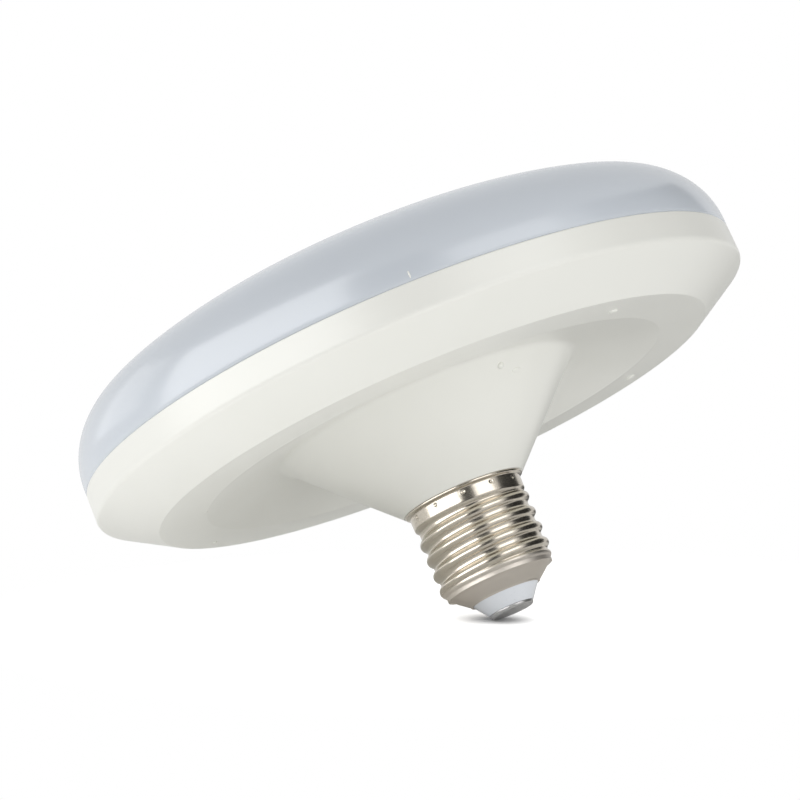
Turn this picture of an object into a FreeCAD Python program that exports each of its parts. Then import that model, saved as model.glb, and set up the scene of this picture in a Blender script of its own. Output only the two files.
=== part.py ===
import FreeCAD, Part
import math
import os
import re
import Sketcher

# UFO LED bulb: a wide flat lamp with an opal diffuser over a moulded white housing
# and an E27 screw cap. Millimetres. The lamp stands on its cap: the origin is the middle
# of the centre contact's outer face and +Z runs along the lamp's axis to the diffuser.
# Pieces: opal diffuser, moulded housing, aluminium heat spreader, LED board with its
# packages, phosphor windows, terminal and screws, the driver board with its parts and four
# leads, and the cap of threaded shell, insulator and centre contact.

os.makedirs("parts", exist_ok=True)
doc = FreeCAD.newDocument("ufo_led_bulb")

# Driving sizes. Heights are measured along the axis from the centre contact's face.
SIZES = {
    # cap: E27 thread on a rolled shell
    "crest_radius": 13.08,
    "root_radius": 12.13,
    "thread_pitch": 3.629,
    "thread_start": 8.55,
    "thread_lap": 12.0,
    "crest_half_width": 0.33,
    "flank_half_width": 0.91,
    "foot_half_width": 1.5,
    "thread_inset": 0.12,
    "valley_cover": 0.03,
    "sheet": 0.3,
    "collar_radius": 12.85,
    "collar_height": 3.05,
    "collar_taper": 0.7,
    "flange_radius": 13.65,
    "flange_height": 0.75,
    "flange_flare": 0.25,
    "shoulder_radius": 12.75,
    "shoulder_height": 8.6,
    "shoulder_rise": 0.7,
    "cone_mid_radius": 10.4,
    "cone_mid_height": 6.1,
    "cone_end_radius": 8.0,
    "cone_end_height": 4.2,
    "cone_round": 5.0,
    "stake_drop": 1.25,
    "stake_radius": 0.5,
    "stake_depth": 0.35,
    "stake_sink": 0.2,
    # insulator and centre contact
    "contact_radius": 4.95,
    "contact_thickness": 0.9,
    "contact_round": 0.7,
    "shank_radius": 1.3,
    "shank_bore_radius": 0.55,
    "shank_height": 6.6,
    "shank_floor": 1.6,
    "insulator_foot_radius": 5.15,
    "insulator_top_height": 7.3,
    "insulator_well_radius": 3.4,
    "insulator_well_height": 5.4,
    # housing
    "wall": 1.8,
    "seam_height": 57.6,
    "band_radius": 75.65,
    "band_draft": 0.1,
    "band_height": 6.4,
    "corner_round": 1.3,
    "bevel_width": 11.55,
    "bevel_height": 7.1,
    "lip_land": 1.7,
    "lip_round": 0.7,
    "recess_draft": 0.3,
    "recess_depth": 2.4,
    "recess_rise": 1.5,
    "recess_round": 0.6,
    "neck_base_radius": 34.3,
    "neck_round": 2.2,
    "neck_end_radius": 14.0,
    "neck_end_height": 27.7,
    "spigot_low": 13.0,
    "spigot_wall": 1.6,
    "seat_drop": 4.6,
    "seat_width": 2.8,
    "snap_depth": 0.45,
    "snap_width": 1.2,
    # diffuser
    "diffuser_wall": 1.6,
    "diffuser_inset": 0.38,
    "diffuser_rise": 15.8,
    "crown_rise": 7.46,
    "skirt_wall": 1.4,
    # heat spreader, LED board and screws
    "spreader_thickness": 1.2,
    "spreader_wire_radius": 6.0,
    "led_board_margin": 4.2,
    "led_board_thickness": 1.0,
    "led_length": 3.5,
    "led_width": 2.8,
    "led_height": 0.7,
    "phosphor_radius": 1.1,
    "phosphor_height": 0.06,
    "screw_radius": 1.45,
    "screw_length": 5.6,
    "screw_head_radius": 2.8,
    "screw_head_height": 1.7,
    "screw_slot_width": 0.7,
    "screw_slot_length": 3.2,
    "screw_slot_depth": 0.9,
    "boss_radius": 3.2,
    "terminal_length": 7.0,
    "terminal_width": 6.4,
    "terminal_height": 3.0,
    "terminal_place": 8.2,
    # driver board
    "board_thickness": 1.6,
    "board_low": 14.5,
    "board_waist_gap": 0.154,
    "board_gap": 6.5,
    "board_side_gap": 1.254,
    "board_half_width": 16.5,
    "rail_depth": 1.9,
    "rail_half_width": 2.4,
    "rail_drop": 0.946,
    "tongue_margin": 0.475,
    "notch_half_width": 0.65,
    "notch_depth": 2.4,
    # parts on the driver board
    "capacitor_radius": 5.0,
    "capacitor_gap": 0.6,
    "capacitor_groove": 0.35,
    "groove_place": 3.33,
    "film_length": 6.4,
    "film_width": 3.6,
    "film_height": 6.0,
    "film_place": 1.0,
    "film_low": 19.0,
    "fuse_radius": 1.7,
    "fuse_length": 6.0,
    "fuse_place": 5.2,
    "fuse_low": 19.0,
    "core_width": 13.0,
    "core_thickness": 5.6,
    "core_leg": 3.6,
    "core_yoke": 2.2,
    "core_gap": 1.5,
    "winding_overhang": 1.5,
    "winding_gap": 0.15,
    "bridge_length": 4.8,
    "bridge_width": 4.0,
    "bridge_height": 2.4,
    "bridge_leg_pitch": 2.5,
    "chip_length": 4.9,
    "chip_width": 3.9,
    "chip_height": 1.5,
    "chip_leg_pitch": 1.27,
    "leg_width": 0.45,
    "leg_reach": 0.9,
    "leg_lap": 0.45,
    "leg_height": 0.5,
    "resistor_length": 3.2,
    "resistor_width": 1.6,
    "resistor_height": 0.6,
    "resistor_spacing": 2.6,
    "resistor_place": 11.2,
    "resistor_drop": 11.0,
    # leads
    "lead_radius": 0.5,
    "lead_bend": 2.0,
    "neutral_place": 6.0,
    "neutral_height": 10.6,
    "led_lead_spacing": 2.4,
    "led_lead_place": 3.0,
    "led_lead_rise": 1.5,
    # clearances
    "shell_clearance": 0.06,
    "skirt_clearance": 0.1,
    "snap_clearance": 0.12,
    "spreader_clearance": 0.3,
    "screw_clearance": 0.05,
    "slot_clearance": 0.05,
    "shank_clearance": 0.02,
    "stake_clearance": 0.1,
    "hole_clearance": 0.25,
}

# How many of each there are, and places given as a share of another size
COUNTS_AND_SHARES = {
    "thread_turns": 4.0,
    "stake_count": 12,
    "led_count_inner": 8,
    "led_count_middle": 14,
    "led_count_outer": 20,
    "screw_count": 3,
    "resistor_count": 4,
    "ring_share_inner": 0.3,
    "ring_share_middle": 0.557,
    "ring_share_outer": 0.8715,
    "screw_share": 0.714,
    "snap_share": 0.413,
    "capacitor_share": 0.4844,
    "core_share": 0.375,
    "bridge_share": 0.203,
    "chip_share": 0.4406,
    "diffuser_round_share": 1.096,
}

CELLS = {**SIZES, **COUNTS_AND_SHARES}
sheet = doc.addObject("Spreadsheet::Sheet", "sizes")
for row, (alias, value) in enumerate(CELLS.items(), start=1):
    sheet.set(f"A{row}", alias)
    sheet.set(f"B{row}", str(value))
    sheet.setAlias(f"B{row}", alias)
doc.recompute()


# Helpers: expressions, sketches and features

def cell_name(word):
    return "sizes." + word.group() if word.group() in CELLS else word.group()


def cell(text):
    """Point each named size in an expression at its cell."""
    return re.sub(r"[a-z_]{3,}", cell_name, text)


def number(text):
    """Present value of an expression of the named sizes."""
    return float(sheet.evalExpression(cell(text)))


def tie(item, prop, text):
    item.setExpression(prop, cell(text))


def new_body(label, pieces_apart=False):
    body = doc.addObject("PartDesign::Body", label)
    body.Label = label
    body.AllowCompound = pieces_apart
    return body


def origin_part(body, role):
    return next(item for item in body.Origin.OriginFeatures if item.Role == role)


def new_sketch(body, name, plane, lift=None):
    """Sketch on one of the body's own origin planes, lifted along the plane's normal."""
    sketch = body.newObject("Sketcher::SketchObject", name)
    sketch.AttachmentSupport = [(origin_part(body, plane), "")]
    sketch.MapMode = "FlatFace"
    if lift is not None:
        tie(sketch, "AttachmentOffset.Base.z", lift)
    return sketch


def pin_point(sketch, index, end, across, up):
    """Hold one end of a line or arc at a place given by two expressions."""
    for kind, text in (("DistanceX", across), ("DistanceY", up)):
        held = sketch.addConstraint(Sketcher.Constraint(kind, index, end, number(text)))
        tie(sketch, f"Constraints[{held}]", text)


def arc_between(start, end, radius, side):
    """Short arc from start to end; side +1 puts its centre left of the way from start to end."""
    chord = end - start
    middle = start + chord * 0.5
    reach = math.sqrt(max(radius * radius - chord.Length * chord.Length / 4, 0.0))
    left = FreeCAD.Vector(-chord.y, chord.x, 0).normalize()
    centre = middle + left * (side * reach)
    first = start if side > 0 else end
    last = end if side > 0 else start
    low = math.atan2(first.y - centre.y, first.x - centre.x)
    high = math.atan2(last.y - centre.y, last.x - centre.x)
    if high < low:
        high += 2 * math.pi
    return Part.ArcOfCircle(Part.Circle(centre, FreeCAD.Vector(0, 0, 1), radius), low, high)


def add_run(sketch, points, arcs=None, closed=True):
    """Lines through points given as pairs of expressions.

    arcs maps a segment's number to (radius expression, side) where it is an arc.
    """
    arcs = arcs or {}
    places = [FreeCAD.Vector(number(across), number(up), 0) for across, up in points]
    total = len(points) if closed else len(points) - 1
    ends = []
    for step in range(total):
        start = places[step]
        end = places[(step + 1) % len(points)]
        if step in arcs:
            radius, side = arcs[step]
            index = sketch.addGeometry(arc_between(start, end, number(radius), side))
            ends.append((index, 1, 2) if side > 0 else (index, 2, 1))
        else:
            index = sketch.addGeometry(Part.LineSegment(start, end))
            ends.append((index, 1, 2))
    for step, (index, head, tail) in enumerate(ends):
        following = (step + 1) % len(ends)
        if closed or following:
            ahead, entry = ends[following][:2]
            sketch.addConstraint(Sketcher.Constraint("Coincident", index, tail, ahead, entry))
        pin_point(sketch, index, head, *points[step])
        if step in arcs:
            held = sketch.addConstraint(Sketcher.Constraint("Radius", index, number(arcs[step][0])))
            tie(sketch, f"Constraints[{held}]", arcs[step][0])
    if not closed:
        pin_point(sketch, ends[-1][0], ends[-1][2], *points[-1])


def add_rectangle(sketch, left, low, right, top):
    add_run(sketch, [(left, low), (right, low), (right, top), (left, top)])


def add_circle(sketch, across, up, radius):
    centre = FreeCAD.Vector(number(across), number(up), 0)
    index = sketch.addGeometry(Part.Circle(centre, FreeCAD.Vector(0, 0, 1), number(radius)))
    pin_point(sketch, index, 3, across, up)
    held = sketch.addConstraint(Sketcher.Constraint("Radius", index, number(radius)))
    tie(sketch, f"Constraints[{held}]", radius)


def turn_profile(body, name, points, arcs=None, kind="Revolution"):
    """Turn a half section about the lamp's axis."""
    sketch = new_sketch(body, name + "_section", "XZ_Plane")
    add_run(sketch, points, arcs)
    feature = body.newObject("PartDesign::" + kind, name)
    feature.Profile = sketch
    feature.ReferenceAxis = (sketch, ["V_Axis"])
    feature.Angle = 360
    return feature


def pad(body, name, sketch, length, reverse=False, both=False):
    feature = body.newObject("PartDesign::Pad", name)
    feature.Profile = sketch
    tie(feature, "Length", length)
    feature.Reversed = reverse
    feature.Midplane = both
    return feature


def pocket(body, name, sketch, length):
    feature = body.newObject("PartDesign::Pocket", name)
    feature.Profile = sketch
    tie(feature, "Length", length)
    return feature


def polar(body, name, originals, count):
    """Repeat features evenly round the lamp's axis."""
    feature = body.newObject("PartDesign::PolarPattern", name)
    feature.Originals = originals
    feature.Axis = (origin_part(body, "Z_Axis"), [""])
    feature.Angle = 360
    tie(feature, "Occurrences", count)
    body.Tip = feature
    return feature


def round_rings(body, name, base, rings, radius):
    """Round the circular edges of base that lie at the given pairs of radius and height."""
    doc.recompute()
    wanted = [(number(across), number(up)) for across, up in rings]
    names = []
    for count, edge in enumerate(base.Shape.Edges, start=1):
        if edge.Degenerated or not isinstance(edge.Curve, Part.Circle):
            continue
        ring = (edge.Curve.Radius, edge.Curve.Center.z)
        if any(abs(ring[0] - across) < 0.001 and abs(ring[1] - up) < 0.001 for across, up in wanted):
            names.append(f"Edge{count}")
    feature = body.newObject("PartDesign::Fillet", name)
    feature.Base = (base, names)
    tie(feature, "Radius", radius)
    return feature


# Threaded shell: rolled nickel-plated sheet. One revolved skin carries the helical
# ridge of the E27 thread outside and the same ridge, one sheet smaller, hollowed inside,
# so the wall stays one sheet thick. Twelve punch marks stake the collar to the housing.

flange_low = "(neck_end_height - flange_height)"
collar_low = f"({flange_low} - collar_height)"
stake_height = f"({flange_low} - stake_drop)"
shoulder_top = "(shoulder_height + shoulder_rise)"
valley = "(root_radius + valley_cover)"
flank = "((crest_radius + root_radius) / 2)"

shell = new_body("threaded_shell")
skin = turn_profile(shell, "skin", [
    ("0", "neck_end_height"),
    ("flange_radius", "neck_end_height"),
    ("flange_radius", f"{flange_low} + flange_flare"),
    ("collar_radius", flange_low),
    ("collar_radius", collar_low),
    (valley, f"{collar_low} - collar_taper"),
    (valley, shoulder_top),
    ("shoulder_radius", "shoulder_height"),
    ("cone_mid_radius", "cone_mid_height"),
    ("cone_end_radius", "cone_end_height"),
    ("0", "cone_end_height"),
])
round_rings(shell, "cone_rounding", skin, [("cone_mid_radius", "cone_mid_height")], "cone_round")


def add_thread(name, kind, inset, narrow, foot, lap):
    """Helical sweep of the thread's ridge, starting on the lamp's +Y side.

    inset moves the ridge inwards, narrow takes from its half widths, foot is the radius
    of its closing side and lap, in degrees, shortens it at both ends.
    """
    start = f"(thread_start + thread_pitch * ({lap}) / 360)"
    sketch = new_sketch(shell, name + "_section", "YZ_Plane")
    sketch.AttachmentOffset = FreeCAD.Placement(
        FreeCAD.Vector(), FreeCAD.Rotation(FreeCAD.Vector(0, 1, 0), number(lap)))
    add_run(sketch, [
        (foot, f"{start} + foot_half_width - {narrow}"),
        (f"{valley} - {inset}", f"{start} + foot_half_width - {narrow}"),
        (f"{flank} - {inset}", f"{start} + flank_half_width - {narrow}"),
        (f"crest_radius - {inset}", f"{start} + crest_half_width - {narrow}"),
        (f"crest_radius - {inset}", f"{start} - crest_half_width + {narrow}"),
        (f"{flank} - {inset}", f"{start} - flank_half_width + {narrow}"),
        (f"{valley} - {inset}", f"{start} - foot_half_width + {narrow}"),
        (foot, f"{start} - foot_half_width + {narrow}"),
    ])
    feature = shell.newObject("PartDesign::" + kind, name)
    feature.Profile = sketch
    feature.ReferenceAxis = (sketch, ["V_Axis"])
    feature.Mode = "pitch-turns-angle"
    tie(feature, "Pitch", "thread_pitch")
    tie(feature, "Turns", f"thread_turns - 2 * ({lap}) / 360")
    return feature


add_thread("ridge_outside", "AdditiveHelix", "0", "0", "root_radius - sheet / 2", "0")
turn_profile(shell, "hollow", [
    ("0", "neck_end_height"),
    ("collar_radius - sheet", "neck_end_height"),
    ("collar_radius - sheet", f"{collar_low} + sheet / 2"),
    (f"{valley} - sheet", f"{collar_low} - collar_taper + sheet / 2"),
    (f"{valley} - sheet", shoulder_top),
    ("shoulder_radius - sheet - sheet", "shoulder_height + sheet / 2"),
    ("cone_mid_radius - sheet", "cone_mid_height + sheet"),
    ("cone_end_radius - sheet", "cone_end_height + sheet"),
    ("cone_end_radius - sheet", "cone_end_height"),
    ("0", "cone_end_height"),
], kind="Groove")
add_thread("ridge_inside", "SubtractiveHelix", "sheet", "thread_inset",
           "root_radius - sheet * 2", "thread_lap")

# One stake on the -Y side: a bump pushed inwards and the dimple that the punch left
bump_sketch = new_sketch(shell, "stake_bump_outline", "XZ_Plane", "collar_radius - stake_sink")
add_circle(bump_sketch, "0", stake_height, "stake_radius + sheet / 2")
bump = pad(shell, "stake_bump", bump_sketch, "stake_depth", reverse=True)
dimple_sketch = new_sketch(shell, "stake_dimple_outline", "XZ_Plane", "collar_radius + sheet")
add_circle(dimple_sketch, "0", stake_height, "stake_radius")
dimple = pocket(shell, "stake_dimple", dimple_sketch, "stake_depth + sheet")
polar(shell, "stakes", [bump, dimple], "stake_count")

# Insulator: a moulded puck that rests on the end cone's inner face and shows below it
# as a tapered foot. The contact's shank passes through it.

insulator = new_body("cap_insulator")
cone_rise = "(shoulder_height - sheet / 2 - cone_mid_height)"
cone_slope = f"({cone_rise} / (shoulder_radius - sheet - cone_mid_radius))"
turn_profile(insulator, "puck", [
    ("shank_radius + shank_clearance", "contact_thickness"),
    ("insulator_foot_radius", "contact_thickness"),
    ("cone_end_radius - sheet", "cone_end_height"),
    ("cone_end_radius - sheet", "cone_end_height + sheet"),
    ("cone_mid_radius - sheet", "cone_mid_height + sheet"),
    (f"cone_mid_radius - sheet + (insulator_top_height - cone_mid_height - sheet) / {cone_slope}",
     "insulator_top_height"),
    ("insulator_well_radius", "insulator_top_height"),
    ("insulator_well_radius", "insulator_well_height"),
    ("shank_radius + shank_clearance", "insulator_well_height"),
])

# Centre contact: a pressed cap with a rounded edge and a hollow shank that grips the
# live lead.

contact = new_body("centre_contact")
button = turn_profile(contact, "button", [
    ("0", "0"),
    ("contact_radius", "0"),
    ("contact_radius", "contact_thickness"),
    ("shank_radius", "contact_thickness"),
    ("shank_radius", "shank_height"),
    ("shank_bore_radius", "shank_height"),
    ("shank_bore_radius", "shank_floor"),
    ("0", "shank_floor"),
])
round_rings(contact, "button_edge", button, [("contact_radius", "0")], "contact_round")

# Housing: one white moulding of even wall. From the seam down it has the band, the
# bevel, the lip, the recess and the neck cone, which ends in the spigot inside the cap.

corner_radius = "(band_radius + band_draft)"
corner_height = "(seam_height - band_height)"
lip_radius = f"({corner_radius} - bevel_width)"
lip_height = f"({corner_height} - bevel_height)"
land_radius = f"({lip_radius} - lip_land)"
recess_radius = f"({land_radius} - recess_draft)"
recess_height = f"({lip_height} + recess_depth)"
neck_base_height = f"({recess_height} + recess_rise)"
seat_height = "(seam_height - seat_drop)"
bevel_slope = "(bevel_height / bevel_width)"
bevel_rise = f"(wall * sqrt(1 + {bevel_slope} ^ 2))"
neck_slope = f"(({neck_base_height} - neck_end_height) / (neck_base_radius - neck_end_radius))"
neck_rise = f"(wall * sqrt(1 + {neck_slope} ^ 2))"
band_inside = "(band_radius - wall)"
seat_inside = f"({band_inside} - seat_width)"
floor_top = f"({recess_height} + wall)"
bevel_foot = f"({lip_radius} + ({floor_top} - {lip_height} - {bevel_rise}) / {bevel_slope})"
spigot_radius = f"({valley} - sheet - shell_clearance)"
spigot_inside = f"({spigot_radius} - spigot_wall)"
spigot_collar = "(collar_radius - sheet - shell_clearance)"
snap_middle = "(seam_height - seat_drop * snap_share)"
neck_top_height = f"({neck_base_height} + wall)"
neck_top_rise = f"({neck_top_height} - neck_end_height - {neck_rise})"
spigot_top = f"(neck_end_height + {neck_rise} + ({spigot_inside} - neck_end_radius) * {neck_slope})"

housing = new_body("housing")
moulding = turn_profile(housing, "moulding", [
    ("band_radius", "seam_height"),
    (corner_radius, corner_height),
    (lip_radius, lip_height),
    (land_radius, lip_height),
    (recess_radius, recess_height),
    ("neck_base_radius", neck_base_height),
    ("neck_end_radius", "neck_end_height"),
    (spigot_collar, "neck_end_height"),
    (spigot_collar, f"{collar_low} + sheet"),
    (spigot_radius, f"{collar_low} - collar_taper + sheet"),
    (spigot_radius, "spigot_low"),
    (spigot_inside, "spigot_low"),
    (spigot_inside, spigot_top),
    (f"neck_end_radius + {neck_top_rise} / {neck_slope}", neck_top_height),
    (bevel_foot, floor_top),
    (seat_inside, f"{lip_height} + {bevel_rise} + ({seat_inside} - {lip_radius}) * {bevel_slope}"),
    (seat_inside, seat_height),
    (band_inside, seat_height),
    (band_inside, f"{snap_middle} - snap_width / 2 - snap_depth"),
    (f"{band_inside} + snap_depth", f"{snap_middle} - snap_width / 2"),
    (f"{band_inside} + snap_depth", f"{snap_middle} + snap_width / 2"),
    (band_inside, f"{snap_middle} + snap_width / 2 + snap_depth"),
    (band_inside, "seam_height"),
])
for name, rings, radius in (
    ("corner_rounding", [(corner_radius, corner_height)], "corner_round"),
    ("lip_rounding", [(lip_radius, lip_height), (land_radius, lip_height)], "lip_round"),
    ("recess_rounding", [(recess_radius, recess_height)], "recess_round"),
    ("neck_rounding", [("neck_base_radius", neck_base_height)], "neck_round"),
):
    moulding = round_rings(housing, name, moulding, rings, radius)

# Three screw bosses stand on the housing's floor under the heat spreader
led_board_radius = f"({band_inside} - led_board_margin)"
screw_circle = f"({led_board_radius} * screw_share)"
screw_grip = "(screw_length - spreader_thickness - led_board_thickness)"
boss_sketch = new_sketch(housing, "boss_outline", "XY_Plane", seat_height)
add_circle(boss_sketch, screw_circle, "0", "boss_radius")
boss = pad(housing, "boss", boss_sketch, f"{seat_height} - {floor_top} + wall / 2", reverse=True)
pilot_sketch = new_sketch(housing, "pilot_outline", "XY_Plane", seat_height)
add_circle(pilot_sketch, screw_circle, "0", "screw_radius + screw_clearance")
pilot = pocket(housing, "pilot", pilot_sketch, f"{screw_grip} + screw_clearance")
polar(housing, "bosses", [boss, pilot], "screw_count")

# Two slotted rails in the spigot hold the driver board's edges
rail_top = f"({spigot_top} - rail_drop)"
tongue_half = f"({spigot_inside} - slot_clearance - tongue_margin)"
rail_sketch = new_sketch(housing, "rail_outline", "XY_Plane", "spigot_low")
add_rectangle(rail_sketch, f"{spigot_inside} - rail_depth", "0 - rail_half_width",
              f"{spigot_inside} + spigot_wall / 2", "rail_half_width")
rail = pad(housing, "rail", rail_sketch, f"{rail_top} - spigot_low")
polar(housing, "rails", [rail], "2")
slot_sketch = new_sketch(housing, "slot_outline", "XY_Plane", rail_top)
slot_half = "(board_thickness / 2 + slot_clearance)"
add_rectangle(slot_sketch, f"0 - {tongue_half} - slot_clearance", f"0 - {slot_half}",
              f"{tongue_half} + slot_clearance", slot_half)
pocket(housing, "slots", slot_sketch, f"{rail_top} - board_low")

# Blind holes that the stake bumps press into
grip_sketch = new_sketch(housing, "stake_grip_outline", "XZ_Plane", f"{spigot_collar} + sheet")
add_circle(grip_sketch, "0", stake_height, "stake_radius + sheet / 2 + stake_clearance")
grip = pocket(housing, "stake_grip", grip_sketch, "sheet + stake_depth + stake_clearance")
polar(housing, "stake_grips", [grip], "stake_count")

# Diffuser: an opal dome of even wall on a skirt that snaps into the band.

top_radius = "(band_radius - diffuser_inset)"
top_height = "(seam_height + diffuser_rise)"
crown_radius = f"(({top_radius} ^ 2 + crown_rise ^ 2) / (2 * crown_rise))"
dome_round = "(diffuser_rise * diffuser_round_share)"
skirt_radius = f"({band_inside} - skirt_clearance)"
skirt_low = f"({seat_height} + spreader_thickness + skirt_clearance)"

diffuser = new_body("diffuser")
turn_profile(diffuser, "dome", [
    ("0", "seam_height"),
    ("band_radius", "seam_height"),
    (top_radius, top_height),
    ("0", f"{top_height} + crown_rise"),
], {2: (crown_radius, 1)})
# The hollow's corner is where the wall's and the crown's inner lines cross
lean = "(diffuser_inset / diffuser_rise)"
crown_fall = f"({top_radius} / ({crown_radius} - crown_rise))"
wall_across = f"(diffuser_wall * sqrt(1 + {lean} ^ 2))"
wall_up = f"(diffuser_wall * sqrt(1 + {crown_fall} ^ 2))"
hollow_drop = f"(({wall_up} - {crown_fall} * {wall_across}) / (1 - {crown_fall} * {lean}))"
hollow_top = f"({top_height} - {hollow_drop})"
hollow_radius = f"({top_radius} - {wall_across} + {lean} * {hollow_drop})"
hollow_rise = f"(crown_rise - diffuser_wall + {hollow_drop})"
hollow_crown = f"(({hollow_radius} ^ 2 + {hollow_rise} ^ 2) / (2 * {hollow_rise}))"
hollow = turn_profile(diffuser, "hollow", [
    ("0", "seam_height"),
    (f"band_radius - {wall_across}", "seam_height"),
    (hollow_radius, hollow_top),
    ("0", f"{hollow_top} + {hollow_rise}"),
], {2: (hollow_crown, 1)}, kind="Groove")
hollow = round_rings(diffuser, "hollow_rounding", hollow, [(hollow_radius, hollow_top)],
                     f"{dome_round} - diffuser_wall")
round_rings(diffuser, "dome_rounding", hollow, [(top_radius, top_height)], dome_round)
snap_tip = f"({skirt_radius} + snap_depth - snap_clearance)"
snap_half = "(snap_width / 2 - snap_clearance)"
snap_foot = "(snap_width / 2 + snap_depth - snap_clearance * 2)"
turn_profile(diffuser, "skirt", [
    (skirt_radius, skirt_low),
    (skirt_radius, f"{snap_middle} - {snap_foot}"),
    (snap_tip, f"{snap_middle} - {snap_half}"),
    (snap_tip, f"{snap_middle} + {snap_half}"),
    (skirt_radius, f"{snap_middle} + {snap_foot}"),
    (skirt_radius, "seam_height"),
    ("band_radius - diffuser_wall / 2", "seam_height"),
    ("band_radius - diffuser_wall / 2", "seam_height + diffuser_wall / 2"),
    (f"{skirt_radius} - skirt_wall", "seam_height + diffuser_wall / 2"),
    (f"{skirt_radius} - skirt_wall", skirt_low),
])

# Heat spreader: an aluminium disc on the housing's seat and bosses, with a hole for the
# leads and one for each screw.

spreader = new_body("heat_spreader")
spreader_sketch = new_sketch(spreader, "disc_outline", "XY_Plane", seat_height)
add_circle(spreader_sketch, "0", "0", f"{band_inside} - spreader_clearance")
add_circle(spreader_sketch, "0", "0", "spreader_wire_radius")
pad(spreader, "disc", spreader_sketch, "spreader_thickness")


def add_screw_holes(body, top):
    """Clearance holes for the screws through a disc whose top face is at the height given."""
    sketch = new_sketch(body, "screw_hole_outline", "XY_Plane", top)
    add_circle(sketch, screw_circle, "0", "screw_radius + hole_clearance")
    hole = pocket(body, "screw_hole", sketch, "spreader_thickness + led_board_thickness")
    polar(body, "screw_holes", [hole], "screw_count")


spreader_top = f"({seat_height} + spreader_thickness)"
board_face = f"({spreader_top} + led_board_thickness)"
add_screw_holes(spreader, spreader_top)

# LED board: a thin metal-core disc on the spreader.

led_board = new_body("led_board")
led_board_sketch = new_sketch(led_board, "disc_outline", "XY_Plane", spreader_top)
add_circle(led_board_sketch, "0", "0", led_board_radius)
add_circle(led_board_sketch, "0", "0", "spreader_wire_radius")
pad(led_board, "disc", led_board_sketch, "led_board_thickness")
add_screw_holes(led_board, board_face)

# LED packages in three rings, each a white body with a phosphor window on top.

led_packages = new_body("led_packages", pieces_apart=True)
phosphor = new_body("phosphor_windows", pieces_apart=True)
for ring in ("inner", "middle", "outer"):
    place = f"({led_board_radius} * ring_share_{ring})"
    package_sketch = new_sketch(led_packages, f"package_{ring}_outline", "XY_Plane", board_face)
    add_rectangle(package_sketch, f"{place} - led_width / 2", "0 - led_length / 2",
                  f"{place} + led_width / 2", "led_length / 2")
    package = pad(led_packages, f"package_{ring}", package_sketch, "led_height")
    polar(led_packages, f"packages_{ring}", [package], f"led_count_{ring}")
    window_sketch = new_sketch(phosphor, f"window_{ring}_outline", "XY_Plane", f"{board_face} + led_height")
    add_circle(window_sketch, place, "0", "phosphor_radius")
    window = pad(phosphor, f"window_{ring}", window_sketch, "phosphor_height")
    polar(phosphor, f"windows_{ring}", [window], f"led_count_{ring}")

# Screws: three slotted pan heads through board and spreader into the bosses.

screws = new_body("board_screws", pieces_apart=True)
shaft_sketch = new_sketch(screws, "shaft_outline", "XY_Plane", board_face)
add_circle(shaft_sketch, screw_circle, "0", "screw_radius")
shaft = pad(screws, "shaft", shaft_sketch, "screw_length", reverse=True)
head_sketch = new_sketch(screws, "head_outline", "XY_Plane", board_face)
add_circle(head_sketch, screw_circle, "0", "screw_head_radius")
screw_head = pad(screws, "head", head_sketch, "screw_head_height")
drive_sketch = new_sketch(screws, "drive_outline", "XY_Plane", f"{board_face} + screw_head_height")
add_rectangle(drive_sketch, f"{screw_circle} - screw_slot_length / 2", "0 - screw_slot_width / 2",
              f"{screw_circle} + screw_slot_length / 2", "screw_slot_width / 2")
drive = pocket(screws, "drive", drive_sketch, "screw_slot_depth")
polar(screws, "screws", [shaft, screw_head, drive], "screw_count")

# Terminal on the LED board beside the wire hole, with a socket for each LED lead.

led_lead_level = f"({board_face} + led_lead_rise)"
terminal = new_body("led_terminal")
terminal_sketch = new_sketch(terminal, "block_outline", "XY_Plane", board_face)
add_rectangle(terminal_sketch, "terminal_place", "0 - terminal_width / 2",
              "terminal_place + terminal_length", "terminal_width / 2")
pad(terminal, "block", terminal_sketch, "terminal_height")
socket_sketch = new_sketch(terminal, "socket_outline", "YZ_Plane", "terminal_place + terminal_length / 2")
for side in ("", "0 - "):
    add_circle(socket_sketch, f"{side}led_lead_spacing / 2", led_lead_level, "lead_radius + slot_clearance")
pocket(terminal, "sockets", socket_sketch, "terminal_length")

# Driver board: upright on the lamp's axis, its narrow tongue in the spigot's rails.

driver_board = new_body("driver_board")
notch_top = "(board_low + notch_depth)"
board_top = f"({seat_height} - board_gap)"
board_waist = f"({spigot_top} + board_waist_gap)"
board_reach = "(board_half_width + board_side_gap - neck_end_radius)"
board_shoulder = f"(neck_end_height + {neck_rise} + {board_reach} * {neck_slope})"
board_span = f"({board_top} - board_low)"
driver_sketch = new_sketch(driver_board, "board_outline", "XZ_Plane")
bottom_notches = []
for place in ("0 - neutral_place", "0"):
    bottom_notches += [
        (f"{place} - notch_half_width", "board_low"),
        (f"{place} - notch_half_width", notch_top),
        (f"{place} + notch_half_width", notch_top),
        (f"{place} + notch_half_width", "board_low"),
    ]
add_run(driver_sketch, [(f"0 - {tongue_half}", "board_low")] + bottom_notches + [
    (tongue_half, "board_low"),
    (tongue_half, board_waist),
    ("board_half_width", board_shoulder),
    ("board_half_width", board_top),
    ("0 - board_half_width", board_top),
    ("0 - board_half_width", board_shoulder),
    (f"0 - {tongue_half}", board_waist),
])
pad(driver_board, "board", driver_sketch, "board_thickness", both=True)

front = "(board_thickness / 2)"


def add_block(body, name, middle, width, low, height, depth, base=front, reverse=False):
    """Rectangular block standing on the board's -Y face, or on its +Y face if reversed."""
    sketch = new_sketch(body, name + "_outline", "XZ_Plane", f"0 - {base}" if reverse else base)
    add_rectangle(sketch, f"{middle} - {width} / 2", low, f"{middle} + {width} / 2", f"{low} + {height}")
    return pad(body, name, sketch, depth, reverse=reverse)


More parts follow.
